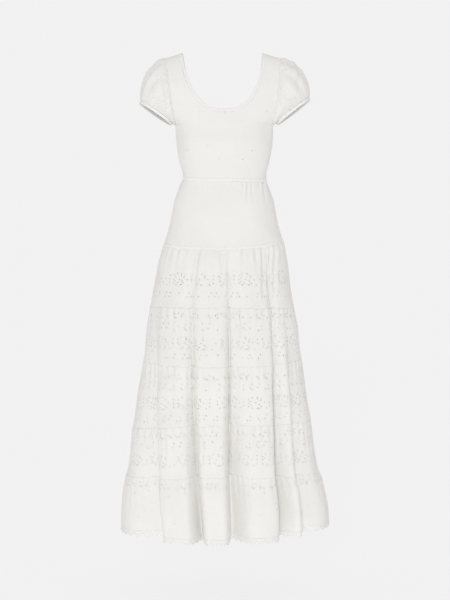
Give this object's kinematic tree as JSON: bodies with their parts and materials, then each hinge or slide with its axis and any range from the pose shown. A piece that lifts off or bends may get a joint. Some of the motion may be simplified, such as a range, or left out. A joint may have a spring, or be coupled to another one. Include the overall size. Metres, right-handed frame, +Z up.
{
  "type": "tiered midi dress",
  "caption": "White eyelet cotton dress with a scoop neck, short puff sleeves, fitted bodice, plain basque and gathered tiers to a scalloped hem, in its worn form",
  "frame": {"origin": "midway between the two points where a shoulder seam meets the neck, where the wearer's shoulders hold the dress up", "axes": "+Z up, -Y out of the front of the dress, +X to the right as seen from the front"},
  "size_m": [0.5984, 0.4762, 1.36],
  "materials": {
    "eyelet_cotton": "matt ivory-white cotton lawn with white machine embroidery",
    "band_cotton": "matt ivory-white cotton, folded and stitched"
  },
  "bodies": {
    "root": {"bodice_front": "eyelet_cotton", "bodice_back": "eyelet_cotton", "sleeve_left": "eyelet_cotton", "sleeve_right": "eyelet_cotton", "yoke_front": "eyelet_cotton", "yoke_back": "eyelet_cotton", "tier_1_front": "eyelet_cotton", "tier_1_back": "eyelet_cotton", "tier_2_front": "eyelet_cotton", "tier_2_back": "eyelet_cotton", "tier_3_front": "eyelet_cotton", "tier_3_back": "eyelet_cotton", "tier_4_front": "eyelet_cotton", "tier_4_back": "eyelet_cotton", "tier_5_front": "eyelet_cotton", "tier_5_back": "eyelet_cotton", "hem_edging": "eyelet_cotton", "neck_band": "band_cotton", "cuff_left": "band_cotton", "cuff_right": "band_cotton", "waist_band": "band_cotton", "hip_band": "band_cotton"}
  },
  "joints": []
}
